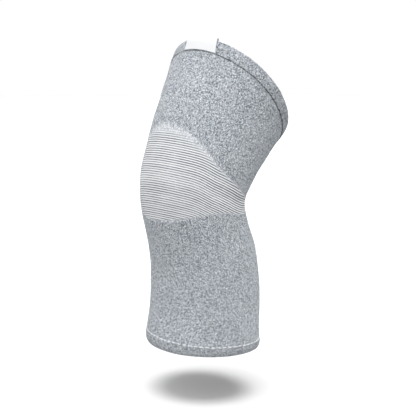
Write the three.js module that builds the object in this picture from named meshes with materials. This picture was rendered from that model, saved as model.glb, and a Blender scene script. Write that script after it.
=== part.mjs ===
// Knitted compression knee sleeve, in the form that it takes on a bent leg.
//
// Lengths are millimetres and +Z is up. The kneecap faces -Y, the leg bends in the plane X = 0, and
// the origin is the middle of the knee. Every place on the knit is given by three numbers:
//   angle  round the leg, 0 at the front and a quarter turn at +X
//   along  the distance along the leg's centreline, 0 at the knee and positive up the thigh
//   depth  how far under the outside of the knit

import * as THREE from 'three';

// Leg form, measured outside the knit. The lengths run to the sides of the rims.
const THIGH_LENGTH = 126.8;
const CALF_LENGTH = 172.4;
const THIGH_WIDTH = 157;
const THIGH_DEPTH = 153;
const KNEE_WIDTH = 118;
const KNEE_DEPTH = 119;
const CALF_WIDTH = 134;
const CALF_DEPTH = 122;

// Bend of the knee: how far it is bent, how far the calf stands off plumb, and how tight the bend is
const FLEXION_DEG = 34;
const CALF_LEAN_DEG = 6;
const BEND_RADIUS = 74;

// How far each rim rises from its sides to its front, and falls from its sides to its back. The
// bottom rim's highest place is turned a little round the leg from the front.
const TOP_RIM_RISE = 28;
const BOTTOM_RIM_RISE = 7.5;
const BOTTOM_RIM_TURN_DEG = -12;

// Knit
const WALL = 2;
const GAP = 0.3;

// Hems: two folded layers that stand a little proud of the tube beside them. The top one is higher
// in front than at its sides, and lower behind, by its front extra.
const HEM_WALL = 3;
const HEM_PROUD = 0.4;
const TOP_HEM_HEIGHT = 13.5;
const TOP_HEM_FRONT_EXTRA = 2.3;
const BOTTOM_HEM_HEIGHT = 12.3;
const BOTTOM_HEM_EXTRA = 2.4;
const BOTTOM_HEM_TURN_DEG = -42;

// The rims turn in a little: by these depths, over this height
const TOP_RIM_CURL = 0.9;
const BOTTOM_RIM_CURL = 2.2;
const RIM_CURL_HEIGHT = 7;

// Knee panel: its reach from the middle of the knee at the front, and how far it is turned round the
// leg from the front
const PANEL_ABOVE = 51;
const PANEL_BELOW = 19.2;
const PANEL_TURN_DEG = 8;

// Label, folded over the top rim. Its fold stands clear of the rim by LABEL_RISE, and its lower
// edges are set over towards +X by LABEL_SKEW.
const LABEL_WIDTH = 44.5;
const LABEL_DROP = 15.2;
const LABEL_RISE = 2.6;
const LABEL_WALL = 1;
const LABEL_TURN_DEG = 4.7;
const LABEL_SKEW = 4;

// Fineness of the facets
const STEPS_AROUND = 60;
const THIGH_ROWS = 9;
const PANEL_ROWS = 7;
const CALF_ROWS = 12;
const HEM_ROWS = 4;
const ROUND_STEPS = 4;
const LABEL_COLUMNS = 12;
const LABEL_ROWS = 5;

// Cross sections of the leg. along is a share of the calf's length below the knee and of the thigh's
// above it. The others are shares of the half width or half depth that the named sizes give there.
const SECTIONS = [
  { along: -1.06, width: 1.005, front: 1.005, back: 0.935 },
  { along: -0.92, width: 0.995, front: 1.065, back: 1.025 },
  { along: -0.72, width: 0.985, front: 0.905, back: 1.17 },
  { along: -0.42, width: 0.97, front: 0.815, back: 1.19 },
  { along: -0.15, width: 0.94, front: 0.95, back: 0.995 },
  { along: 0, width: 0.985, front: 1.085, back: 0.915 },
  { along: 0.15, width: 0.985, front: 1.105, back: 0.85 },
  { along: 0.45, width: 0.96, front: 1.105, back: 0.88 },
  { along: 0.75, width: 0.96, front: 1.045, back: 0.965 },
  { along: 1, width: 0.995, front: 0.98, back: 1.05 },
  { along: 1.24, width: 1.01, front: 0.97, back: 1.06 },
];

// Edges of the knee panel. degrees is the way round from the panel's middle, to either side, and the
// others are shares of its reach above and below the knee: an arch in front, a band behind.
const PANEL_EDGES = [
  { degrees: 0, above: 1, below: 1 },
  { degrees: 15, above: 0.96, below: 0.97 },
  { degrees: 30, above: 0.84, below: 0.92 },
  { degrees: 45, above: 0.65, below: 0.85 },
  { degrees: 60, above: 0.46, below: 0.79 },
  { degrees: 75, above: 0.36, below: 0.79 },
  { degrees: 90, above: 0.285, below: 0.92 },
  { degrees: 105, above: 0.19, below: 1.15 },
  { degrees: 130, above: 0.1, below: 1.32 },
  { degrees: 180, above: 0.06, below: 1.36 },
];

const HEATHER = { color: 0xa9aeb4, roughness: 0.95, metalness: 0 };
const PALE_STRIPE = { color: 0xc8cbcf, roughness: 0.95, metalness: 0 };
const WHITE_WEAVE = { color: 0xf1f2f2, roughness: 0.8, metalness: 0 };

const radians = THREE.MathUtils.degToRad;
const { lerp, clamp } = THREE.MathUtils;

/** A smooth curve through one column of a table, at a value of its key column. */
function readTable(table, key, column, at) {
  const slope = (row) => {
    const before = table[Math.max(row - 1, 0)];
    const after = table[Math.min(row + 1, table.length - 1)];
    return (after[column] - before[column]) / (after[key] - before[key]);
  };
  let low = 0;
  while (low < table.length - 2 && at > table[low + 1][key]) low++;
  const start = table[low];
  const end = table[low + 1];
  const run = end[key] - start[key];
  const t = clamp((at - start[key]) / run, 0, 1);
  const ease = t * t * (3 - 2 * t);
  const leave = t * (1 - t) * (1 - t) * run * slope(low);
  const arrive = t * t * (t - 1) * run * slope(low + 1);
  return lerp(start[column], end[column], ease) + leave + arrive;
}

/** Half width and the front and back half depths of the knit's outside at a distance along the leg. */
function legSection(along) {
  const below = along < 0;
  const at = along / (below ? CALF_LENGTH : THIGH_LENGTH);
  const away = Math.min(Math.abs(at), 1);
  const halfWidth = lerp(KNEE_WIDTH, below ? CALF_WIDTH : THIGH_WIDTH, away) / 2;
  const halfDepth = lerp(KNEE_DEPTH, below ? CALF_DEPTH : THIGH_DEPTH, away) / 2;
  return {
    side: halfWidth * readTable(SECTIONS, 'along', 'width', at),
    front: halfDepth * readTable(SECTIONS, 'along', 'front', at),
    back: halfDepth * readTable(SECTIONS, 'along', 'back', at),
  };
}

/** The centreline: straight up the calf, round an arc at the knee and straight up the thigh. */
function centreline(along) {
  const halfBend = (radians(FLEXION_DEG) * BEND_RADIUS) / 2;
  const kneeTilt = radians(FLEXION_DEG / 2 - CALF_LEAN_DEG);
  const onArc = clamp(along, -halfBend, halfBend);
  const tilt = kneeTilt + onArc / BEND_RADIUS;
  const beyond = along - onArc;
  return {
    y: BEND_RADIUS * (Math.cos(kneeTilt) - Math.cos(tilt)) + beyond * Math.sin(tilt),
    z: BEND_RADIUS * (Math.sin(tilt) - Math.sin(kneeTilt)) + beyond * Math.cos(tilt),
    tilt,
  };
}

/** The point of the knit at an angle round the leg, a distance along it and a depth in the wall. */
function knitPoint(angle, along, depth) {
  const section = legSection(along);
  const axis = centreline(along);
  const forward = Math.cos(angle);
  const reach = ((forward > 0 ? section.front : section.back) - depth) * forward;
  return new THREE.Vector3(
    (section.side - depth) * Math.sin(angle),
    axis.y - reach * Math.cos(axis.tilt),
    axis.z + reach * Math.sin(axis.tilt),
  );
}

/** The distance along the centreline that gives a real length up the knit's outside at this place. */
function alongForLength(angle, along, length) {
  const step = 1;
  const low = knitPoint(angle, along - step, 0);
  const high = knitPoint(angle, along + step, 0);
  return (length * 2 * step) / low.distanceTo(high);
}

const topRim = (angle) => THIGH_LENGTH + TOP_RIM_RISE * Math.cos(angle);
const bottomRim = (angle) =>
  -CALF_LENGTH + BOTTOM_RIM_RISE * Math.cos(angle - radians(BOTTOM_RIM_TURN_DEG));
const topSeam = (angle) =>
  topRim(angle) - TOP_HEM_HEIGHT - TOP_HEM_FRONT_EXTRA * Math.cos(angle);
const bottomSeam = (angle) =>
  bottomRim(angle) +
  BOTTOM_HEM_HEIGHT +
  BOTTOM_HEM_EXTRA * Math.cos(angle - radians(BOTTOM_HEM_TURN_DEG));

/** How far a hem is turned in at a distance from its rim, by all of its curl at the rim itself. */
function turnedIn(curl, fromRim) {
  return curl * clamp(1 - fromRim / RIM_CURL_HEIGHT, 0, 1) ** 2;
}

/** How far round the leg a place is from the panel's middle, to either side, in degrees. */
function fromPanelMiddle(angle) {
  const turned = angle - radians(PANEL_TURN_DEG);
  return THREE.MathUtils.radToDeg(Math.acos(Math.cos(turned)));
}

function panelTop(angle) {
  return PANEL_ABOVE * readTable(PANEL_EDGES, 'degrees', 'above', fromPanelMiddle(angle));
}

function panelBottom(angle) {
  return -PANEL_BELOW * readTable(PANEL_EDGES, 'degrees', 'below', fromPanelMiddle(angle));
}

/**
 * The closed section of a band of knit: up its outer face and down its inner face.
 * share runs from the band's low edge, 0, to its high edge, 1. lift is a length added along the leg.
 */
function bandSection({ wall, proud = 0, rows, roundLow = false, roundHigh = false }) {
  const radius = wall / 2;
  const middle = radius - proud;
  const liftAt = (share) =>
    (roundLow ? radius * (1 - share) : 0) - (roundHigh ? radius * share : 0);
  const face = (depth) =>
    Array.from({ length: rows + 1 }, (_, row) => {
      const share = row / rows;
      return { share, lift: liftAt(share), depth };
    });
  const rounded = (share, up) =>
    Array.from({ length: ROUND_STEPS - 1 }, (_, step) => {
      const turn = (Math.PI * (step + 1)) / ROUND_STEPS;
      return {
        share,
        lift: up * radius * (Math.sin(turn) - 1),
        depth: middle - up * radius * Math.cos(turn),
      };
    });
  return [
    ...face(middle - radius),
    ...(roundHigh ? rounded(1, 1) : []),
    ...face(middle + radius).reverse(),
    ...(roundLow ? rounded(0, -1) : []),
  ];
}

/** A mesh from points and triangles, with the flat shading that a faceted solid has. */
function solid(name, points, triangles, finish) {
  const geometry = new THREE.BufferGeometry().setFromPoints(points);
  geometry.setIndex(triangles);
  geometry.computeVertexNormals();
  const mesh = new THREE.Mesh(geometry, new THREE.MeshStandardMaterial(finish));
  mesh.name = name;
  return mesh;
}

const notTurnedIn = () => 0;

/**
 * A band of knit round the leg, between two edges that are functions of the angle. turnIn gives an
 * extra depth at an angle and a distance along the leg.
 */
function knitBand(name, { lowEdge, highEdge, section, finish, turnIn = notTurnedIn }) {
  const points = [];
  const triangles = [];
  const ring = section.length;
  for (let column = 0; column < STEPS_AROUND; column++) {
    const angle = (2 * Math.PI * column) / STEPS_AROUND;
    const low = lowEdge(angle);
    const high = highEdge(angle);
    for (const { share, lift, depth } of section) {
      const start = lerp(low, high, share);
      const along = start + alongForLength(angle, start, lift);
      points.push(knitPoint(angle, along, depth + turnIn(angle, along)));
    }
    const next = (column + 1) % STEPS_AROUND;
    for (let place = 0; place < ring; place++) {
      const after = (place + 1) % ring;
      const a = column * ring + place;
      const b = next * ring + place;
      const c = next * ring + after;
      const d = column * ring + after;
      triangles.push(a, b, c, a, c, d);
    }
  }
  return solid(name, points, triangles, finish);
}

/** An edge moved along the knit by a length, to leave room beside a neighbour. */
const moved = (edge, length) => (angle) =>
  edge(angle) + alongForLength(angle, edge(angle), length);

function thighTube() {
  return knitBand('thigh_tube', {
    lowEdge: moved(panelTop, GAP / 2),
    highEdge: moved(topSeam, -GAP / 2),
    section: bandSection({ wall: WALL, rows: THIGH_ROWS }),
    finish: HEATHER,
  });
}

function kneePanel() {
  return knitBand('knee_panel', {
    lowEdge: moved(panelBottom, GAP / 2),
    highEdge: moved(panelTop, -GAP / 2),
    section: bandSection({ wall: WALL, rows: PANEL_ROWS }),
    finish: PALE_STRIPE,
  });
}

function calfTube() {
  return knitBand('calf_tube', {
    lowEdge: moved(bottomSeam, GAP / 2),
    highEdge: moved(panelBottom, -GAP / 2),
    section: bandSection({ wall: WALL, rows: CALF_ROWS }),
    finish: HEATHER,
  });
}

function topHem() {
  return knitBand('top_hem', {
    lowEdge: moved(topSeam, GAP / 2),
    highEdge: topRim,
    section: bandSection({ wall: HEM_WALL, proud: HEM_PROUD, rows: HEM_ROWS, roundHigh: true }),
    turnIn: (angle, along) => turnedIn(TOP_RIM_CURL, topRim(angle) - along),
    finish: HEATHER,
  });
}

function bottomHem() {
  return knitBand('bottom_hem', {
    lowEdge: bottomRim,
    highEdge: moved(bottomSeam, -GAP / 2),
    section: bandSection({ wall: HEM_WALL, proud: HEM_PROUD, rows: HEM_ROWS, roundLow: true }),
    turnIn: (angle, along) => turnedIn(BOTTOM_RIM_CURL, along - bottomRim(angle)),
    finish: HEATHER,
  });
}

/**
 * One face of the label, as a path over the rim: up the outside of the hem, round the rim and down
 * the inside. reach is how far the face stands off the middle of the hem's wall.
 */
function labelPath(reach) {
  const middle = HEM_WALL / 2 - HEM_PROUD;
  const foldStart = LABEL_RISE - HEM_WALL / 2 - GAP;
  const side = (depth) =>
    Array.from({ length: LABEL_ROWS + 1 }, (_, row) => ({
      lift: lerp(-LABEL_DROP, foldStart, row / LABEL_ROWS),
      depth,
    }));
  const over = Array.from({ length: ROUND_STEPS - 1 }, (_, step) => {
    const turn = (Math.PI * (step + 1)) / ROUND_STEPS;
    return { lift: reach * Math.sin(turn) + foldStart, depth: middle - reach * Math.cos(turn) };
  });
  return [...side(middle - reach), ...over, ...side(middle + reach).reverse()];
}

function label() {
  const inner = HEM_WALL / 2 + GAP;
  const faces = [labelPath(inner + LABEL_WALL), labelPath(inner)];
  const across = faces[0].length;
  const points = [];
  const radius = legSection(topRim(0)).side;
  const halfTurn = LABEL_WIDTH / 2 / radius;
  for (let column = 0; column <= LABEL_COLUMNS; column++) {
    const middle = radians(LABEL_TURN_DEG) + lerp(-halfTurn, halfTurn, column / LABEL_COLUMNS);
    for (const face of faces) {
      for (const { lift, depth } of face) {
        const angle = middle - ((LABEL_SKEW / radius) * lift) / LABEL_DROP;
        const curled = depth + turnedIn(TOP_RIM_CURL, -lift);
        points.push(knitPoint(angle, topRim(angle) + lift, curled));
      }
    }
  }
  const at = (column, face, place) => (column * 2 + face) * across + place;
  const triangles = [];
  const quad = (a, b, c, d) => triangles.push(a, b, c, a, c, d);
  for (let column = 0; column < LABEL_COLUMNS; column++) {
    const next = column + 1;
    for (let place = 0; place < across - 1; place++) {
      const after = place + 1;
      quad(at(column, 0, place), at(next, 0, place), at(next, 0, after), at(column, 0, after));
      quad(at(column, 1, after), at(next, 1, after), at(next, 1, place), at(column, 1, place));
    }
    const last = across - 1;
    quad(at(column, 1, 0), at(next, 1, 0), at(next, 0, 0), at(column, 0, 0));
    quad(at(column, 0, last), at(next, 0, last), at(next, 1, last), at(column, 1, last));
  }
  for (let place = 0; place < across - 1; place++) {
    const after = place + 1;
    const end = LABEL_COLUMNS;
    quad(at(0, 0, after), at(0, 1, after), at(0, 1, place), at(0, 0, place));
    quad(at(end, 0, place), at(end, 1, place), at(end, 1, after), at(end, 0, after));
  }
  return solid('label', points, triangles, WHITE_WEAVE);
}

const kneeSleeve = new THREE.Group();
kneeSleeve.add(thighTube(), kneePanel(), calfTube(), topHem(), bottomHem(), label());

export default kneeSleeve;
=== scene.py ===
# %% [markdown]
# # A knitted knee sleeve
#
# This lesson dresses the solids of a pull-on compression sleeve for the knee: a heather knit tube
# in the form of a bent leg, a pale ribbed panel over the kneecap, two folded hems and a small
# woven label. The solids hold the true form already. What they lack is the cloth, so each of them
# is replaced by a finer surface on the same form, worked out with numpy.
#
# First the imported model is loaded. It stays where it is and gives the box that the cloth keeps to.

# %% The fixed frame
import math

import bpy
import numpy as np
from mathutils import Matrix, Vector


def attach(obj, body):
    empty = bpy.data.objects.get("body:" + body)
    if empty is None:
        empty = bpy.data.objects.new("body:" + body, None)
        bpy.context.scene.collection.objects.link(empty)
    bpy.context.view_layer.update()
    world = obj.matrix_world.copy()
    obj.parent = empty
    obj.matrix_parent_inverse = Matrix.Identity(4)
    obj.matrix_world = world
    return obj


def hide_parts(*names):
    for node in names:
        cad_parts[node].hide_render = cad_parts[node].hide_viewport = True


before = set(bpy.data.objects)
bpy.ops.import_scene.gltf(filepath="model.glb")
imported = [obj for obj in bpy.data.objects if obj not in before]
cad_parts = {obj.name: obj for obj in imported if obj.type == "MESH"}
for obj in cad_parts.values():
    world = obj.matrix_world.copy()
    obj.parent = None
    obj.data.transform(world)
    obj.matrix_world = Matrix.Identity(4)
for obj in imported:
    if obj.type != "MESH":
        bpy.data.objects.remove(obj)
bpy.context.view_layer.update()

# %% [markdown]
# ## The form of the leg
#
# A knit tube has no shape of its own: it takes the leg's. So one function gives every place on the
# cloth, from an angle round the leg (0 at the front), a distance along its centreline (0 at the
# knee, positive up the thigh) and a depth under the outside of the knit. It could have been read
# off the solids instead, but they are faceted, and a formula is smooth at any fineness. Lengths
# here are millimetres, as a knitter would measure them, and become metres when a mesh is made.

# %% Named sizes of the form
THIGH_LENGTH, CALF_LENGTH = 126.8, 172.4
THIGH_WIDTH, THIGH_DEPTH = 157, 153
KNEE_WIDTH, KNEE_DEPTH = 118, 119
CALF_WIDTH, CALF_DEPTH = 134, 122
FLEXION, CALF_LEAN = math.radians(34), math.radians(6)
BEND_RADIUS = 74
TOP_RIM_RISE, BOTTOM_RIM_RISE, BOTTOM_RIM_TURN = 28, 7.5, math.radians(-12)

SECTIONS = {
    "along": (-1.06, -0.92, -0.72, -0.42, -0.15, 0, 0.15, 0.45, 0.75, 1, 1.24),
    "width": (1.005, 0.995, 0.985, 0.97, 0.94, 0.985, 0.985, 0.96, 0.96, 0.995, 1.01),
    "front": (1.005, 1.065, 0.905, 0.815, 0.95, 1.085, 1.105, 1.105, 1.045, 0.98, 0.97),
    "back": (0.935, 1.025, 1.17, 1.19, 0.995, 0.915, 0.85, 0.88, 0.965, 1.05, 1.06),
}


# %% A smooth curve through a table
def read_table(table, key, column, at):
    """A cubic through each pair of rows, whose slope at a row is that of the line between its
    neighbours, so that the whole is smooth."""
    keys, values = np.array(table[key], float), np.array(table[column], float)
    before, after = np.r_[0, :len(keys) - 1], np.r_[1:len(keys), len(keys) - 1]
    slopes = (values[after] - values[before]) / (keys[after] - keys[before])
    low = np.clip(np.searchsorted(keys, at) - 1, 0, len(keys) - 2)
    run = keys[low + 1] - keys[low]
    t = np.clip((at - keys[low]) / run, 0, 1)
    ease = t * t * (3 - 2 * t)
    bend = t * (1 - t) * run * ((1 - t) * slopes[low] - t * slopes[low + 1])
    return values[low] + (values[low + 1] - values[low]) * ease + bend


# %% Any place on the knit
def leg_section(along):
    """Half width and front and back half depths: the named sizes, blended from the knee to the
    rim, times the shares in the table."""
    at = np.where(along < 0, along / CALF_LENGTH, along / THIGH_LENGTH)
    away = np.minimum(np.abs(at), 1)
    width = KNEE_WIDTH + (np.where(at < 0, CALF_WIDTH, THIGH_WIDTH) - KNEE_WIDTH) * away
    depth = KNEE_DEPTH + (np.where(at < 0, CALF_DEPTH, THIGH_DEPTH) - KNEE_DEPTH) * away
    side = width / 2 * read_table(SECTIONS, "along", "width", at)
    front = depth / 2 * read_table(SECTIONS, "along", "front", at)
    back = depth / 2 * read_table(SECTIONS, "along", "back", at)
    return side, front, back


def centreline(along):
    """A straight calf, an arc at the knee and a straight thigh. Gives y, z and the tilt."""
    half_bend = FLEXION * BEND_RADIUS / 2
    knee_tilt = FLEXION / 2 - CALF_LEAN
    on_arc = np.clip(along, -half_bend, half_bend)
    tilt = knee_tilt + on_arc / BEND_RADIUS
    beyond = along - on_arc
    y = BEND_RADIUS * (np.cos(knee_tilt) - np.cos(tilt)) + beyond * np.sin(tilt)
    z = BEND_RADIUS * (np.sin(tilt) - np.sin(knee_tilt)) + beyond * np.cos(tilt)
    return y, z, tilt


def knit_point(angle, along, depth):
    """The centreline's point, plus the section's half ellipse at this angle, taken in by depth and
    set square to the centreline."""
    side, front, back = leg_section(along)
    y, z, tilt = centreline(along)
    reach = (np.where(np.cos(angle) > 0, front, back) - depth) * np.cos(angle)
    x = (side - depth) * np.sin(angle)
    return np.stack([x, y - reach * np.cos(tilt), z + reach * np.sin(tilt)], axis=-1)


def along_for_length(angle, along, length):
    """How much of the centreline gives this real length up the cloth: the length over the cloth's
    stretch, which is measured across 2 mm."""
    low, high = knit_point(angle, along - 1, 0), knit_point(angle, along + 1, 0)
    return 2 * length / np.linalg.norm(high - low, axis=-1)


knee = knit_point(np.radians(np.arange(0, 360, 2)), np.zeros(180), 0)
knee_girth = np.linalg.norm(knee - np.roll(knee, 1, axis=0), axis=1).sum()
print(f"girth at the knee: {knee_girth:.0f} mm")

# %% [markdown]
# ## Where one knit stops and the next begins
#
# The rims are cut square to the leg but pulled up at the front, so their height follows the cosine
# of the angle, and so does the small unevenness in the height of each hem. The knee panel is an
# arch in front and a narrow band behind, which a short table gives. Each edge is a function of the
# angle, so neighbours share it exactly.

# %% Edges
TOP_HEM_HEIGHT, TOP_HEM_FRONT_EXTRA = 13.5, 2.3
BOTTOM_HEM_HEIGHT, BOTTOM_HEM_EXTRA, BOTTOM_HEM_TURN = 12.3, 2.4, math.radians(-42)
PANEL_ABOVE, PANEL_BELOW = 51, 19.2
PANEL_TURN = math.radians(8)

PANEL_EDGES = {
    "degrees": (0, 15, 30, 45, 60, 75, 90, 105, 130, 180),
    "above": (1, 0.96, 0.84, 0.65, 0.46, 0.36, 0.285, 0.19, 0.1, 0.06),
    "below": (1, 0.97, 0.92, 0.85, 0.79, 0.79, 0.92, 1.15, 1.32, 1.36),
}


def top_rim(angle):
    return THIGH_LENGTH + TOP_RIM_RISE * np.cos(angle)


def bottom_rim(angle):
    return -CALF_LENGTH + BOTTOM_RIM_RISE * np.cos(angle - BOTTOM_RIM_TURN)


def top_seam(angle):
    return top_rim(angle) - TOP_HEM_HEIGHT - TOP_HEM_FRONT_EXTRA * np.cos(angle)


def bottom_seam(angle):
    extra = BOTTOM_HEM_EXTRA * np.cos(angle - BOTTOM_HEM_TURN)
    return bottom_rim(angle) + BOTTOM_HEM_HEIGHT + extra


def from_panel_middle(angle):
    """Degrees round the leg from the panel's middle, to either side."""
    return np.degrees(np.arccos(np.cos(angle - PANEL_TURN)))


def panel_top(angle):
    return PANEL_ABOVE * read_table(PANEL_EDGES, "degrees", "above", from_panel_middle(angle))


def panel_bottom(angle):
    return -PANEL_BELOW * read_table(PANEL_EDGES, "degrees", "below", from_panel_middle(angle))


front_reach, back_reach = panel_top(0), panel_top(math.pi)
print(f"panel above the knee: {front_reach:.0f} mm in front, {back_reach:.0f} mm behind")

# %% [markdown]
# ## From arrays to a mesh
#
# Every tube here is the same thing: a closed section, out and up one face of the cloth and down the
# other, carried round the leg. On a grid that wraps both ways there is no seam, pole or open edge,
# so the cloth is a sound solid with its faces outwards. The stitches need their own coordinates,
# because knitting follows the cloth and not the room. They go into a UV map that counts wales round
# the leg and courses along it.

# %% A wrapped grid as a mesh
MM = 0.001
WALES_AROUND = 540
COURSE = 0.62


def surface(name, points, quads, uv, marks):
    """A mesh object from points in millimetres, quads, a UV pair for each quad corner, and named
    numbers for each point."""
    mesh = bpy.data.meshes.new(name)
    mesh.vertices.add(len(points))
    mesh.vertices.foreach_set("co", (points * MM).astype(np.float32).ravel())
    mesh.loops.add(quads.size)
    mesh.loops.foreach_set("vertex_index", quads.astype(np.int32).ravel())
    mesh.polygons.add(len(quads))
    mesh.polygons.foreach_set("loop_start", np.arange(0, quads.size, 4, dtype=np.int32))
    mesh.update(calc_edges=True)
    mesh.uv_layers.new(name="knit")
    mesh.uv_layers["knit"].uv.foreach_set("vector", uv.astype(np.float32).ravel())
    for mark, values in marks.items():
        attribute = mesh.attributes.new(mark, "FLOAT", "POINT")
        attribute.data.foreach_set("value", values.astype(np.float32).ravel())
    mesh.polygons.foreach_set("use_smooth", np.ones(len(quads), bool))
    mesh.validate()
    piece = bpy.data.objects.new(name, mesh)
    bpy.context.scene.collection.objects.link(piece)
    print(f"{name}: {2 * len(quads)} triangles")
    return piece


def wrapped_tube(name, angles, along, depth, courses, marks):
    """A closed tube from arrays of columns by places: each column is one closed section. The
    last column meets the first, and each section's last place meets its first."""
    columns, ring = along.shape
    points = knit_point(angles[:, None], along, depth)
    here = np.arange(columns)[:, None] * ring + np.arange(ring)
    after = np.roll(here, -1, axis=1)
    quads = np.stack([here, np.roll(here, -1, axis=0), np.roll(after, -1, axis=0), after], axis=-1)
    wale = np.arange(columns + 1)[:, None] / columns * WALES_AROUND + np.zeros(ring)
    course = np.vstack([courses, courses[:1]])
    corners = [(slice(0, -1), 0), (slice(1, None), 0), (slice(1, None), 1), (slice(0, -1), 1)]
    uv = [
        np.stack([wale[rows], np.roll(course, -turn, axis=1)[rows]], axis=-1)
        for rows, turn in corners
    ]
    flat_marks = {mark: values.ravel() for mark, values in marks.items()}
    return surface(
        name, points.reshape(-1, 3), quads.reshape(-1, 4),
        np.stack(uv, axis=2).reshape(-1, 2), flat_marks,
    )


# %% [markdown]
# ## Soft unevenness
#
# Cloth on a leg is never a perfect tube. Its tension varies, so it swells and sinks by a few tenths
# of a millimetre over a few centimetres. A handful of sine waves with whole numbers of turns round
# the leg gives that, joins up behind, and is the same on every run.

# %% Waves in the cloth
TENSION_WAVES = (
    {"turns": 3, "length": 95, "phase": 0.4, "height": 0.25},
    {"turns": 5, "length": 61, "phase": 2.1, "height": 0.16},
    {"turns": 8, "length": 43, "phase": 4.0, "height": 0.12},
    {"turns": 13, "length": 29, "phase": 1.3, "height": 0.07},
)


def tension(angle, along):
    """The sum of waves that run round and along the leg, in millimetres outwards."""
    return sum(
        wave["height"] * np.sin(
            wave["turns"] * angle + 2 * np.pi * along / wave["length"] + wave["phase"]
        )
        for wave in TENSION_WAVES
    )


def smooth(low, high, at):
    """0 below low, 1 above high, and a smooth step between."""
    t = np.clip((at - low) / (high - low), 0, 1)
    return t * t * (3 - 2 * t)


# %% [markdown]
# ## The thigh and calf tubes
#
# The plain knit is one surface between two edges, with a second one 2 mm inside it. Where it meets
# a hem it is pulled down by the seam, and where it meets the panel it runs on without a step,
# because the two are knitted in one go. The mark called pale says how far the panel's pale yarn
# shows: it fades in over a few millimetres at the edge, as one yarn is laid over the other.

# %% Columns, walls and marks
WALL = 2
COLUMNS = 400
COLUMN_ANGLES = np.pi + np.arange(COLUMNS) * 2 * np.pi / COLUMNS
INNER_ROWS = 16
THIGH_ROWS, CALF_ROWS = 190, 200
SEAM_DIP, SEAM_DIP_REACH, SEAM_DIP_LEAST = 0.5, 1.5, 0.3
SEAM_SHADE_REACH, SEAM_SHADE_CORE = 0.7, 0.4
SEAM_FAINT_MIDDLE, SEAM_FAINTEST = math.radians(-20), 0.15
SEAM_FAINT_TO, SEAM_FULL_FROM = 20, 95
PALE_FRONT_FROM, PALE_FRONT_TO = 15, 75
PALE_FADE_AT_SIDE, PALE_FADE_IN_FRONT = (-1.5, 1), (-5, 5)


def up_and_down(outer_rows):
    """Shares from the low to the high edge for a closed section: up the outer face, down the
    inner one. Also says which places are outside."""
    shares = np.r_[np.linspace(0, 1, outer_rows), np.linspace(1, 0, INNER_ROWS)]
    outside = np.r_[np.ones(outer_rows), np.zeros(INNER_ROWS)]
    return shares, outside


def panel_reach(angle, along):
    """Real millimetres from a place to the panel's nearer edge, positive inside the panel."""
    per_length = along_for_length(angle, along, 1)
    return np.minimum(panel_top(angle) - along, along - panel_bottom(angle)) / per_length


def pale_share(angle, along):
    """How far the panel's pale yarn shows: over 10 mm on the kneecap, and over 2.5 mm at the
    sides, where the edge is crisp."""
    front = smooth(PALE_FRONT_TO, PALE_FRONT_FROM, from_panel_middle(angle))
    start, end = (
        at_side + (in_front - at_side) * front
        for at_side, in_front in zip(PALE_FADE_AT_SIDE, PALE_FADE_IN_FRONT)
    )
    return smooth(start, end, panel_reach(angle, along))


def seam_shade(angle):
    """How dark the painted shade in the top seam's gap is, and how deep its dip: faint under the
    label and to its left, where the hem is pressed flat, and full from 95 degrees on."""
    away = np.degrees(np.arccos(np.cos(angle - SEAM_FAINT_MIDDLE)))
    return SEAM_FAINTEST + (1 - SEAM_FAINTEST) * smooth(SEAM_FAINT_TO, SEAM_FULL_FROM, away)


def plain_tube(name, low_edge, high_edge, rows, seam_at_top):
    """A tube of plain knit between two edges, pulled in beside the seam by a dip that falls off
    like a bell curve. At the top seam the dip is shallower where the painted shade is faint, and
    the seam mark paints shade next to the seam."""
    shares, outside = up_and_down(rows)
    angle = COLUMN_ANGLES[:, None]
    low, high = low_edge(angle), high_edge(angle)
    along = low + (high - low) * shares
    from_seam = np.abs((high if seam_at_top else low) - along)
    share = SEAM_DIP_LEAST + (1 - SEAM_DIP_LEAST) * seam_shade(angle) if seam_at_top else 0.5
    dip = SEAM_DIP * share * np.exp(-((from_seam / SEAM_DIP_REACH) ** 2))
    depth = np.where(outside > 0, dip - tension(angle, along), WALL - tension(angle, along))
    # Painted shade: the seam mark darkens the knit next to the top seam, as if deep in its gap.
    painted_shade_beside_seam = smooth(SEAM_SHADE_REACH, SEAM_SHADE_CORE, from_seam)
    marks = {
        "pale": pale_share(angle, along),
        "seam": painted_shade_beside_seam * seam_shade(angle) * seam_at_top,
    }
    return wrapped_tube(name, COLUMN_ANGLES, along, depth, along / COURSE, marks)


# %% The two tubes
thigh_knit = plain_tube("thigh_knit", panel_top, top_seam, THIGH_ROWS, True)
calf_knit = plain_tube("calf_knit", bottom_seam, panel_bottom, CALF_ROWS, False)

# %% [markdown]
# ## The knee panel
#
# A knee sleeve bends because its panel has short rows: extra courses in front that run out towards
# the sides. They show as ribs, a white cord and a grey groove every 2.5 mm, level over the kneecap
# and dropping towards the back. They could be painted on, but ribs catch light and break the
# outline, so here they are in the mesh. The ribs are counted in real millimetres of cloth from one
# base line, which makes them evenly spaced on the bend too, and both edges of the panel cut them.

# %% Ribs in the panel
RIB_PITCH = 2.5
RIB_HEIGHT = 0.42
RIB_MEAN = 0.6
RIB_EDGE_FADE, RIB_TOP_FADE, RIB_TOP_FADE_IN_FRONT = 1.5, 2, 16
RIB_FRONT_FROM, RIB_FRONT_TO = 10, 75
RIB_SIDE_FROM, RIB_SIDE_TO, RIB_SHARE_IN_FRONT = 20, 80, 0.8
PANEL_ROWS = 222

RIB_LINE = {
    "degrees": (0, 36, 45, 53, 60, 68, 80, 95, 110, 140, 180),
    "along": (8.8, 8.6, 8, 6.6, 5.1, 3.7, 0.9, -3.2, -6.4, -9.5, -11),
}


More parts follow.
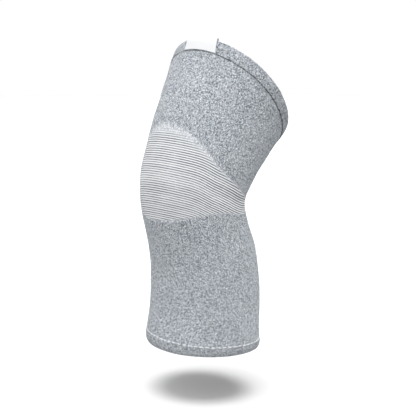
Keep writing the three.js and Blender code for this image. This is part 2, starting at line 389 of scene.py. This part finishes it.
def rib_count(angle, along, shares):
    """How many ribs a place is above the base line: the real length of cloth between them, over
    the pitch. The length is summed up each column of the grid."""
    points = knit_point(angle, along, 0)
    steps = np.linalg.norm(np.diff(points, axis=1), axis=-1)
    length = np.concatenate([np.zeros((len(points), 1)), np.cumsum(steps, axis=1)], axis=1)
    base = read_table(RIB_LINE, "degrees", "along", from_panel_middle(angle))
    share = (base - along[:, :1]) / (along[:, -1:] - along[:, :1])
    place = np.clip(share, 0, 1) * (len(shares) - 1)
    low = np.minimum(place.astype(int), len(shares) - 2)
    start = np.take_along_axis(length, low, axis=1)
    end = np.take_along_axis(length, low + 1, axis=1)
    return (length - start - (end - start) * (place - low)) / RIB_PITCH


def rib_strength(angle, along, high):
    """How far the ribs stand out, from 0 to 1: they fade in from both edges, slowly from the top
    of the arch in front, and are a little stronger at the sides."""
    from_top = (high - along) / along_for_length(angle, along, 1)
    away = from_panel_middle(angle)
    front = smooth(RIB_FRONT_TO, RIB_FRONT_FROM, away)
    side = smooth(RIB_SIDE_FROM, RIB_SIDE_TO, away)
    top_fade = RIB_TOP_FADE + (RIB_TOP_FADE_IN_FRONT - RIB_TOP_FADE) * front
    share = RIB_SHARE_IN_FRONT + (1 - RIB_SHARE_IN_FRONT) * side
    inside = smooth(0, RIB_EDGE_FADE, panel_reach(angle, along))
    return inside * smooth(0, top_fade, from_top) * share


def panel_tube():
    """The panel between its edges. Rib cords are round on top with narrow grooves: the height is
    the root of half of one plus a cosine of the rib count."""
    shares, outside = up_and_down(PANEL_ROWS)
    angle = COLUMN_ANGLES[:, None]
    low, high = panel_bottom(angle), panel_top(angle)
    along = low + (high - low) * shares
    ribs = rib_count(angle, along[:, :PANEL_ROWS], shares[:PANEL_ROWS])
    inner = np.linspace(PANEL_ROWS - 1, 0, INNER_ROWS).round().astype(int)
    ribs = np.hstack([ribs, ribs[:, inner]])
    strength = rib_strength(angle, along, high)
    cord = np.sqrt(0.5 + 0.5 * np.cos(2 * np.pi * ribs))
    swell = tension(angle, along) + RIB_HEIGHT * (cord - RIB_MEAN) * strength
    depth = np.where(outside > 0, -swell, WALL - tension(angle, along))
    marks = {
        "pale": pale_share(angle, along),
        "rib_strength": strength,
    }
    return wrapped_tube("knee_rib", COLUMN_ANGLES, along, depth, 2 * ribs, marks)


knee_rib = panel_tube()

# %% [markdown]
# ## The hems
#
# Each rim is the tube's own end, turned in and sewn down, so it is twice as thick, stands a little
# proud and has a soft round edge. Its free edge shows as a lip over the seam. The section is drawn
# once, as a path round a rounded bar, and carried round the leg. The stitches pull the lip in at
# even steps, which gives the faint pucker of a real hem.

# %% Hems
HEM_WALL, HEM_PROUD = 3, 0.6
HEM_ROWS, HEM_ROUND_STEPS = 22, 12
PUCKERS, PUCKER_DEPTH, PUCKER_REACH = 64, 0.12, 3.5
SEAM_GAP, LIP_RADIUS, LIP_SHADE_REACH = 0.08, 0.4, 0.25
TOP_RIM_CURL, BOTTOM_RIM_CURL, RIM_CURL_HEIGHT = 0.9, 2.2, 7


def turned_in(curl, from_rim):
    """How far the hem is turned in at a distance from its rim: a parabola, all of it at the rim."""
    return curl * np.clip(1 - from_rim / RIM_CURL_HEIGHT, 0, 1) ** 2


def hem_section(height):
    """Places round a bar of the hem's thickness: lift above the seam, a row for each height
    given, and depth. The lip end has a small radius and the crown, at the rim, a half round."""
    half = HEM_WALL / 2
    mid = half - HEM_PROUD
    turn = np.linspace(0, np.pi, HEM_ROUND_STEPS)
    lip_start, crown_start = SEAM_GAP + LIP_RADIUS, height - half
    side = lip_start + (crown_start - lip_start) * np.linspace(0, 1, HEM_ROWS)[1:-1]
    crown_lift = crown_start + half * np.sin(turn)
    lip_lift = lip_start - LIP_RADIUS * np.sin(turn) + 0 * height
    lift = np.hstack([side, crown_lift, side[:, ::-1], lip_lift])
    depth = np.r_[
        np.full(HEM_ROWS - 2, mid - half), mid - half * np.cos(turn),
        np.full(HEM_ROWS - 2, mid + half), mid + half * np.cos(turn),
    ]
    return lift, depth


def hem_tube(name, rim, seam, curl, upwards):
    """The hem's section carried round the leg from its seam. For the lower hem it is turned
    over, which would turn its faces in, so its places are taken the other way round."""
    angle = COLUMN_ANGLES[:, None]
    height = np.abs(rim(angle) - seam(angle))
    lift, depth = hem_section(height)
    along = seam(angle) + lift * (1 if upwards else -1)
    depth = depth + turned_in(curl, height - lift)
    near_lip = np.exp(-((lift - SEAM_GAP) / PUCKER_REACH) ** 2)
    pucker = PUCKER_DEPTH * near_lip * np.cos(PUCKERS * angle)
    depth = depth + pucker - tension(angle, along)
    if not upwards:
        along, depth = along[:, ::-1], depth[:, ::-1]
    # Painted shade: the top hem's lip is darkened where it meets the seam's gap.
    lip = smooth(SEAM_GAP + LIP_SHADE_REACH, SEAM_GAP, lift) * seam_shade(angle) * upwards
    marks = {"pale": np.zeros_like(along), "seam": lip}
    return wrapped_tube(name, COLUMN_ANGLES, along, depth, along / COURSE, marks)


top_hem_fold = hem_tube("top_hem_fold", top_rim, top_seam, TOP_RIM_CURL, True)
bottom_hem_fold = hem_tube(
    "bottom_hem_fold", bottom_rim, bottom_seam, BOTTOM_RIM_CURL, False,
)

# %% [markdown]
# ## The label
#
# A strip of white woven tape is folded over the rim at the front and caught in the seam on both
# sides. Its fold stands a little clear of the rim. It is a thin plate: two layers of points along
# the same path over the rim, joined at their borders. The tape is bare.

# %% Label
LABEL_WIDTH, LABEL_DROP, LABEL_RISE, LABEL_WALL = 44.5, 15.2, 2.6, 1
LABEL_TURN, LABEL_SKEW = math.radians(4.7), 4
LABEL_GAP = 0.3
LABEL_COLUMNS, LABEL_ROWS, LABEL_ROUND_STEPS = 80, 26, 18


def label_path(reach):
    """Up the outside of the hem, round a half circle of this reach, and down the inside."""
    middle = HEM_WALL / 2 - HEM_PROUD
    fold_start = LABEL_RISE - HEM_WALL / 2 - LABEL_GAP
    side = np.linspace(-LABEL_DROP, fold_start, LABEL_ROWS)
    turn = np.linspace(0, np.pi, LABEL_ROUND_STEPS)[1:-1]
    lift = np.r_[side, fold_start + reach * np.sin(turn), side[::-1]]
    depth = np.r_[
        np.full(LABEL_ROWS, middle - reach), middle - reach * np.cos(turn),
        np.full(LABEL_ROWS, middle + reach),
    ]
    return lift, depth


def label_plate():
    """Both faces of the tape as one closed ring of places in each column, and the two end
    sections closed by quads between the faces."""
    outer_lift, outer_depth = label_path(HEM_WALL / 2 + LABEL_GAP + LABEL_WALL)
    inner_lift, inner_depth = label_path(HEM_WALL / 2 + LABEL_GAP)
    lift = np.r_[outer_lift, inner_lift[::-1]]
    depth = np.r_[outer_depth, inner_depth[::-1]]
    radius = leg_section(np.array(float(top_rim(0))))[0]
    across = np.linspace(-1, 1, LABEL_COLUMNS + 1)[:, None]
    angle = LABEL_TURN + (LABEL_WIDTH / 2 * across - LABEL_SKEW * lift / LABEL_DROP) / radius
    along = top_rim(angle) + lift
    sunk = depth + turned_in(TOP_RIM_CURL, -lift) - tension(angle, along)
    points = knit_point(angle, along, sunk)
    ring, columns = len(lift), LABEL_COLUMNS + 1
    here = np.arange(columns)[:, None] * ring + np.arange(ring)
    after = np.roll(here, -1, axis=1)
    sides = np.stack([here[:-1], here[1:], after[1:], after[:-1]], axis=-1).reshape(-1, 4)
    first, mirror = np.arange(ring // 2 - 1), ring - 1 - np.arange(ring // 2 - 1)
    cap = np.stack([first, first + 1, mirror - 1, mirror], axis=-1)
    quads = np.vstack([sides, cap, cap[:, ::-1] + (columns - 1) * ring])
    across_mm = (across * LABEL_WIDTH / 2 + np.zeros(ring)).ravel()
    up_mm = (np.zeros_like(across) + lift).ravel()
    uv = np.stack([across_mm[quads], up_mm[quads]], axis=-1).reshape(-1, 2)
    return surface("label_fold", points.reshape(-1, 3), quads, uv, {})


label_fold = label_plate()

# %% [markdown]
# ## Stitches
#
# The lower hem is held by a white thread that shows as a row of short stitches. Each is a small
# closed capsule on the seam, and all of them are one mesh made from one set of points.

# %% Hem stitches
STITCHES, STITCH_LENGTH, STITCH_RADIUS = 64, 4.9, 0.55
STITCH_SIDES, STITCH_RINGS = 8, 7
STITCH_RISE, STITCH_ARCH, STITCH_TIP = 0.25, 0.2, 0.02


def stitch_row(name, seam):
    """Capsules at even angles on a seam. A capsule's rings shrink to its ends as the root of one
    minus the fourth power, and it arches from one needle hole to the next."""
    t = np.linspace(-1, 1, STITCH_RINGS)
    radius = STITCH_RADIUS * np.sqrt(np.clip(1 - t ** 4, STITCH_TIP, 1))
    middle = np.arange(STITCHES)[:, None] * 2 * np.pi / STITCHES
    girth = leg_section(np.array(float(seam(np.pi / 2))))[0]
    angle = middle + t * STITCH_LENGTH / 2 / girth
    around = np.arange(STITCH_SIDES) * 2 * np.pi / STITCH_SIDES
    along = seam(angle)
    swell = tension(angle, along) + STITCH_RISE - STITCH_ARCH * t ** 2
    ring_along = along[..., None] + radius[:, None] * np.sin(around)
    ring_out = swell[..., None] + radius[:, None] * np.cos(around)
    points = knit_point(angle[..., None], ring_along, -ring_out)
    per_stitch = STITCH_RINGS * STITCH_SIDES
    here = np.arange(per_stitch).reshape(STITCH_RINGS, STITCH_SIDES)
    after = np.roll(here, -1, axis=1)
    tube = np.stack([here[:-1], here[1:], after[1:], after[:-1]], axis=-1).reshape(-1, 4)
    start = np.array([[0, 1, 2, 3], [0, 3, 4, 7], [7, 4, 5, 6]])
    end = start[:, ::-1] + (STITCH_RINGS - 1) * STITCH_SIDES
    one = np.vstack([tube, start, end])
    quads = (one + np.arange(STITCHES)[:, None, None] * per_stitch).reshape(-1, 4)
    uv = np.zeros((quads.size, 2))
    return surface(name, points.reshape(-1, 3), quads, uv, {})


hem_stitches = stitch_row("hem_stitches", bottom_seam)

# %% [markdown]
# ## Shader maths
#
# Yarn colours are sums and products of patterns, which as nodes become a thicket. A small class
# lets them be written as arithmetic: each operator adds its Math node and hands back its output.

# %% Sockets that can be added and multiplied
class Value:
    """A number that varies over a surface: a shader socket with Python's operators."""

    def __init__(self, graph, socket):
        self.graph, self.socket = graph, socket

    def math(self, operation, *others):
        sockets = dict(enumerate((self,) + others))
        return self.graph.node("ShaderNodeMath", {"operation": operation}, sockets)

    def __add__(self, other):
        return self.math("ADD", other)

    def __mul__(self, other):
        return self.math("MULTIPLY", other)

    def __sub__(self, other):
        return self.math("SUBTRACT", other)

    def __rsub__(self, other):
        return self.graph.node("ShaderNodeMath", {"operation": "SUBTRACT"}, {0: other, 1: self})

    def __pow__(self, other):
        return self.math("POWER", other)

    def __abs__(self):
        return self.math("ABSOLUTE")

    __radd__, __rmul__ = __add__, __mul__


class Graph:
    """The nodes of one material, or of the sky."""

    def __init__(self, owner):
        self.owner, self.tree = owner, owner.node_tree

    def node(self, kind, settings=None, inputs=None, output=0):
        """Adds a node, sets it up, fills its sockets and gives one of its outputs. A colour
        ramp's stops are pairs of a place and a colour."""
        node = self.tree.nodes.new(kind)
        for name, setting in (settings or {}).items():
            if name == "stops":
                while len(node.color_ramp.elements) < len(setting):
                    node.color_ramp.elements.new(1)
                for element, (place, colour) in zip(node.color_ramp.elements, setting):
                    element.position, element.color = place, colour
            else:
                setattr(node, name, setting)
        for key, value in (inputs or {}).items():
            if isinstance(value, Value):
                self.tree.links.new(value.socket, node.inputs[key])
            else:
                node.inputs[key].default_value = value
        return Value(self, node.outputs[output]) if node.outputs else None

    def mix(self, factor, low, high):
        """A colour between two others."""
        return self.node(
            "ShaderNodeMix", {"data_type": "RGBA"}, {0: factor, 6: low, 7: high}, 2
        )

    def cloth(self, colour, normal, roughness, sheen):
        """The finished surface: a rough Principled shader with a little fibre sheen."""
        shader = self.node("ShaderNodeBsdfPrincipled", {}, {
            "Base Color": colour, "Normal": normal, "Roughness": roughness,
            "Sheen Weight": sheen, "Sheen Roughness": 0.5, "Specular IOR Level": 0.2,
        })
        self.node("ShaderNodeOutputMaterial", {}, {"Surface": shader})
        return self.owner


def empty_material(name):
    """The graph of a new material that holds no nodes yet."""
    material = bpy.data.materials.new(name)
    material.use_nodes = True
    material.node_tree.nodes.clear()
    return Graph(material)


def srgb(red, green, blue):
    """A colour of 0 to 255 as it looks on a screen, turned into the light that it reflects."""
    share = np.array([red, green, blue]) / 255
    light = np.where(share <= 0.04045, share / 12.92, ((share + 0.055) / 1.055) ** 2.4)
    return (*light.tolist(), 1.0)


# %% [markdown]
# ## Heather knit
#
# Heather yarn is spun from fibres of several greys, so each stitch comes out a different tone and
# flecks run on along a course. White noise read once for each leg of a stitch gives the first, and
# a stretched noise the second. Each stitch is a V in relief, whose legs climb to the wale's edges.
# The knee panel's white cords and grey grooves are laid over this by the marks in the mesh, so one
# recipe makes both cloths and they meet without a step. On the plain knit, the seam mark lays
# painted shade over the top seam's gap.

# %% Knit material
HEATHER_TONES = (
    (0.0, srgb(62, 68, 76)),
    (0.3, srgb(121, 128, 136)),
    (0.5, srgb(160, 167, 175)),
    (0.7, srgb(193, 200, 208)),
    (1.0, srgb(238, 242, 246)),
)
HEM_TONES = (
    (0.0, srgb(58, 63, 71)),
    (0.3, srgb(112, 118, 125)),
    (0.5, srgb(151, 157, 164)),
    (0.7, srgb(184, 190, 196)),
    (1.0, srgb(226, 230, 235)),
)
CORD_WHITE, CORD_SHADE = srgb(253, 254, 255), srgb(206, 210, 216)
GROOVE_GREY = srgb(62, 67, 77)
PALE_WHITE, PALE_SHADE = srgb(248, 250, 253), srgb(162, 167, 175)
# Painted shade: the dark grey that the top seam's gap and the hem's lip are painted with.
SEAM_SHADE_GREY = srgb(58, 62, 68)
STITCH_BUMP, STITCH_RELIEF = 0.4, 0.0004
MEAN_TONE, STITCH_SHARE, FLECK_SHARE, PATCH_SHARE = 0.48, 1.45, 0.12, 0.12
PALE_COVER, CORD_COVER, SEAM_SHADE_COVER = 0.8, 0.95, 0.7
GROOVE_POWER = 2.1
LEG_SLOPE = 0.9


def knit_material(name, tones, ribbed):
    """The heather of one knit. With ribs, the course count runs at two for each rib, and cords
    and grooves lie over the heather as far as the mesh's mark says. Without ribs, the seam mark
    lays painted shade over the top seam's gap."""
    g = empty_material(name)
    uv = g.node("ShaderNodeUVMap", {"uv_map": "knit"})
    wale = g.node("ShaderNodeSeparateXYZ", {}, {0: uv}, 0)
    course = g.node("ShaderNodeSeparateXYZ", {}, {0: uv}, 1)
    if ribbed:
        course = course + 0.5
    legs = (wale * 2).math("FLOOR")
    cell = g.node("ShaderNodeCombineXYZ", {}, {0: legs, 1: course.math("FLOOR")})
    stitch = g.node("ShaderNodeTexWhiteNoise", {"noise_dimensions": "2D"}, {"Vector": cell})
    along_course = g.node("ShaderNodeCombineXYZ", {}, {0: wale * 0.9, 1: course * 1.6})
    fleck = g.node("ShaderNodeTexNoise", {"noise_dimensions": "2D"}, {
        "Vector": along_course, "Scale": 1.0, "Detail": 2.0, "Roughness": 0.6,
    })
    place = g.node("ShaderNodeTexCoord", {}, {}, 3)
    patch = g.node("ShaderNodeTexNoise", {}, {
        "Vector": place, "Scale": 60.0, "Detail": 3.0, "Roughness": 0.55,
    })
    tone = MEAN_TONE + (stitch - 0.5) * STITCH_SHARE
    tone = tone + (fleck - 0.5) * FLECK_SHARE + (patch - 0.5) * PATCH_SHARE
    heather = g.node("ShaderNodeValToRGB", {"stops": tones}, {0: tone})

    across = abs(wale.math("FRACT") - 0.5) * 2
    leg = (course + across * LEG_SLOPE).math("FRACT") - 0.5
    height = (1 - (leg * 2) ** 2) * (1 - across ** 4)
    pale = g.node("ShaderNodeAttribute", {"attribute_name": "pale"}, {}, 2)
    pale_yarn = g.mix(tone, PALE_SHADE, PALE_WHITE)
    colour = g.mix(pale * PALE_COVER, heather, pale_yarn)
    if ribbed:
        strength = g.node("ShaderNodeAttribute", {"attribute_name": "rib_strength"}, {}, 2)
        rib = (course * 0.5).math("FLOOR")
        row = g.node("ShaderNodeTexWhiteNoise", {"noise_dimensions": "1D"}, {"W": rib})
        cord = 0.5 + ((course - 0.5) * math.pi).math("COSINE") * 0.5
        depth = 0.8 + stitch * 0.75 + (patch - 0.5) * 0.9 + (row - 0.5) * 0.35
        groove = (1 - cord) ** GROOVE_POWER * depth * strength
        cord_colour = g.mix(stitch * 0.5 + (row - 0.5) * 0.3, CORD_WHITE, CORD_SHADE)
        colour = g.mix(strength * CORD_COVER, colour, cord_colour)
        colour = g.mix(groove, colour, GROOVE_GREY)
    else:
        # Painted shade: where the seam mark says, the knit is darkened towards a dark grey in the
        # top seam's gap.
        seam = g.node("ShaderNodeAttribute", {"attribute_name": "seam"}, {}, 2)
        colour = g.mix(seam * SEAM_SHADE_COVER, colour, SEAM_SHADE_GREY)
    bump = g.node("ShaderNodeBump", {}, {
        "Strength": STITCH_BUMP, "Distance": STITCH_RELIEF, "Height": height,
    })
    return g.cloth(colour, bump, 0.95, 0.05)


heather_knit = knit_material("heather_knit", HEATHER_TONES, False)
hem_knit = knit_material("hem_knit", HEM_TONES, False)
striped_knit = knit_material("striped_knit", HEATHER_TONES, True)

# %% [markdown]
# ## Label and thread
#
# The tape is a fine plain weave in white: crossing threads about a quarter of a millimetre apart,
# in relief, with painted shade, a hint of grey, where they go under. The sewing thread is white
# too, and its fibres are a noise finer than the eye can part.

# %% Woven and sewn whites
WEAVE_PITCH = 0.45
FIBRE_SCALE = 2500.0
WHITE_BUMP, WHITE_RELIEF = 0.3, 0.0002


def woven_material(name, light, shade):
    """The product of two sines, one across and one up the tape, lifts every other crossing, and
    the crossings that go under get painted shade.
    """
    g = empty_material(name)
    uv = g.node("ShaderNodeUVMap", {"uv_map": "knit"})
    x = g.node("ShaderNodeSeparateXYZ", {}, {0: uv}, 0) * (2 * math.pi / WEAVE_PITCH)
    y = g.node("ShaderNodeSeparateXYZ", {}, {0: uv}, 1) * (2 * math.pi / WEAVE_PITCH)
    over = 0.5 + x.math("SINE") * y.math("SINE") * 0.5
    # Painted shade: the crossings that go under are greyer.
    colour = g.mix(over, shade, light)
    bump = g.node("ShaderNodeBump", {}, {
        "Strength": WHITE_BUMP, "Distance": WHITE_RELIEF, "Height": over,
    })
    return g.cloth(colour, bump, 0.75, 0.15)


def thread_material(name, light, shade):
    """Fine noise stands for the fibres of the thread, in colour and in relief."""
    g = empty_material(name)
    place = g.node("ShaderNodeTexCoord", {}, {}, 3)
    fibre = g.node("ShaderNodeTexNoise", {}, {
        "Vector": place, "Scale": FIBRE_SCALE, "Detail": 2.0,
    })
    bump = g.node("ShaderNodeBump", {}, {
        "Strength": WHITE_BUMP, "Distance": WHITE_RELIEF, "Height": fibre,
    })
    return g.cloth(g.mix(fibre, shade, light), bump, 0.7, 0.2)


label_weave = woven_material("label_weave", srgb(228, 229, 230), srgb(212, 214, 216))
white_thread = thread_material("white_thread", srgb(248, 249, 250), srgb(214, 218, 222))

# %% [markdown]
# ## Putting the pieces in the frame
#
# Each new surface stands for its solid, rides on the part's one body and takes the finish listed
# for it in the table. The knitted pieces are cloth stretched over a leg, and off the leg the sleeve
# is about a fifth narrower.

# %% Frame and finishes
PIECES = (
    {"piece": thigh_knit, "node": "thigh_tube", "slot": "heather_knit", "finish": heather_knit},
    {"piece": knee_rib, "node": "knee_panel", "slot": "striped_knit", "finish": striped_knit},
    {"piece": calf_knit, "node": "calf_tube", "slot": "heather_knit", "finish": heather_knit},
    {"piece": top_hem_fold, "node": "top_hem", "slot": "hem_knit", "finish": hem_knit},
    {"piece": bottom_hem_fold, "node": "bottom_hem", "slot": "hem_knit", "finish": hem_knit},
    {"piece": label_fold, "node": "label", "slot": "label_weave", "finish": label_weave},
    {"piece": hem_stitches, "node": None, "slot": "label_weave", "finish": white_thread},
)

for row in PIECES:
    row["piece"].data.materials.append(row["finish"])
    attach(row["piece"], "root")
    if row["node"]:
        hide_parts(row["node"])

# %% [markdown]
# ## Camera, floor and light
#
# The camera stands a metre away, between the front and the side and a little above the knee, with a
# long lens, and a small shift sets the sleeve in the picture as it is in the photograph. The sleeve
# floats over a pale floor under a soft white sky. Two lamps shape the sleeve. A third washes the
# floor from above until it is white, and leaves one soft shadow below the calf. One lamp for both
# would shine through the open tube and light the floor inside the shadow, so each lamp is linked
# to what it lights.

# %% Camera
AZIMUTH, ELEVATION = math.radians(48), math.radians(7.5)
CAMERA_DISTANCE = 1.0
LENS = 77.3
SHIFT_X, SHIFT_Y = 0.032, -0.034

back = Vector((
    math.sin(AZIMUTH) * math.cos(ELEVATION),
    -math.cos(AZIMUTH) * math.cos(ELEVATION),
    math.sin(ELEVATION),
))
camera = bpy.data.objects.new("camera", bpy.data.cameras.new("camera"))
camera.data.lens = LENS
camera.data.shift_x, camera.data.shift_y = SHIFT_X, SHIFT_Y
camera.location = back * CAMERA_DISTANCE
camera.rotation_mode = "QUATERNION"
camera.rotation_quaternion = (-back).to_track_quat("-Z", "Y")
bpy.context.scene.collection.objects.link(camera)
bpy.context.scene.camera = camera

# %% Floor
FLOOR_Z = -0.226
FLOOR_HALF = 12.0
FLOOR_TONE = 0.45

floor_mesh = bpy.data.meshes.new("floor")
floor_mesh.from_pydata(
    [(x * FLOOR_HALF, y * FLOOR_HALF, FLOOR_Z) for x, y in ((-1, -1), (1, -1), (1, 1), (-1, 1))],
    [], [(0, 1, 2, 3)],
)
floor = bpy.data.objects.new("floor", floor_mesh)
bpy.context.scene.collection.objects.link(floor)
floor.visible_diffuse = False
pale_floor = empty_material("pale_floor")
floor_grey = (FLOOR_TONE, FLOOR_TONE, FLOOR_TONE, 1)
matt = pale_floor.node("ShaderNodeBsdfDiffuse", {}, {"Color": floor_grey})
pale_floor.node("ShaderNodeOutputMaterial", {}, {"Surface": matt})
floor_mesh.materials.append(pale_floor.owner)

# %% Sky and lamps
SKY_HORIZON, SKY_TOP, SKY_BELOW = 1.0, 0.2, 0.43
SKY_TURN_START, SKY_TURN_SLOPE = 0.06, 8

world = bpy.data.worlds.new("white_sky")
world.use_nodes = True
bpy.context.scene.world = world
bpy.context.scene.view_settings.view_transform = "Standard"
sky = Graph(world)
direction = sky.node("ShaderNodeTexCoord", {}, {}, 0)
lift = sky.node("ShaderNodeSeparateXYZ", {}, {0: direction}, 2)
above = lift.math("MAXIMUM", 0.0)
below = ((lift + SKY_TURN_START) * -SKY_TURN_SLOPE).math("MINIMUM", 1.0).math("MAXIMUM", 0.0)
glow = SKY_HORIZON + above * SKY_TOP - below * (SKY_HORIZON - SKY_BELOW)
backdrop = world.node_tree.nodes["Background"]
sky.tree.links.new(glow.socket, backdrop.inputs["Strength"])
backdrop.inputs["Color"].default_value = (1, 1, 1, 1)


def lit_group(name, members):
    """A collection that says which objects a lamp lights."""
    group = bpy.data.collections.new(name)
    for member in members:
        group.objects.link(member)
    return group


def far_lamp(name, towards, spread, strength, lights):
    """A lamp so far off that its light comes from one direction, softened by its spread in
    degrees. It lights one group of objects alone."""
    lamp = bpy.data.lights.new(name, "SUN")
    lamp.angle, lamp.energy = math.radians(spread), strength
    holder = bpy.data.objects.new(name, lamp)
    holder.rotation_mode = "QUATERNION"
    holder.rotation_quaternion = (-Vector(towards)).to_track_quat("-Z", "Y")
    bpy.context.scene.collection.objects.link(holder)
    holder.light_linking.receiver_collection = lights


sleeve_only = lit_group("sleeve_only", [row["piece"] for row in PIECES])
floor_only = lit_group("floor_only", [floor])
far_lamp("overhead", (0.1, 0.3, 0.95), 28, 1.7, sleeve_only)
far_lamp("key", (0.42, -0.75, 0.5), 40, 0.86, sleeve_only)
far_lamp("floor_wash", (0, 0.04, 1), 54, 6.4, floor_only)
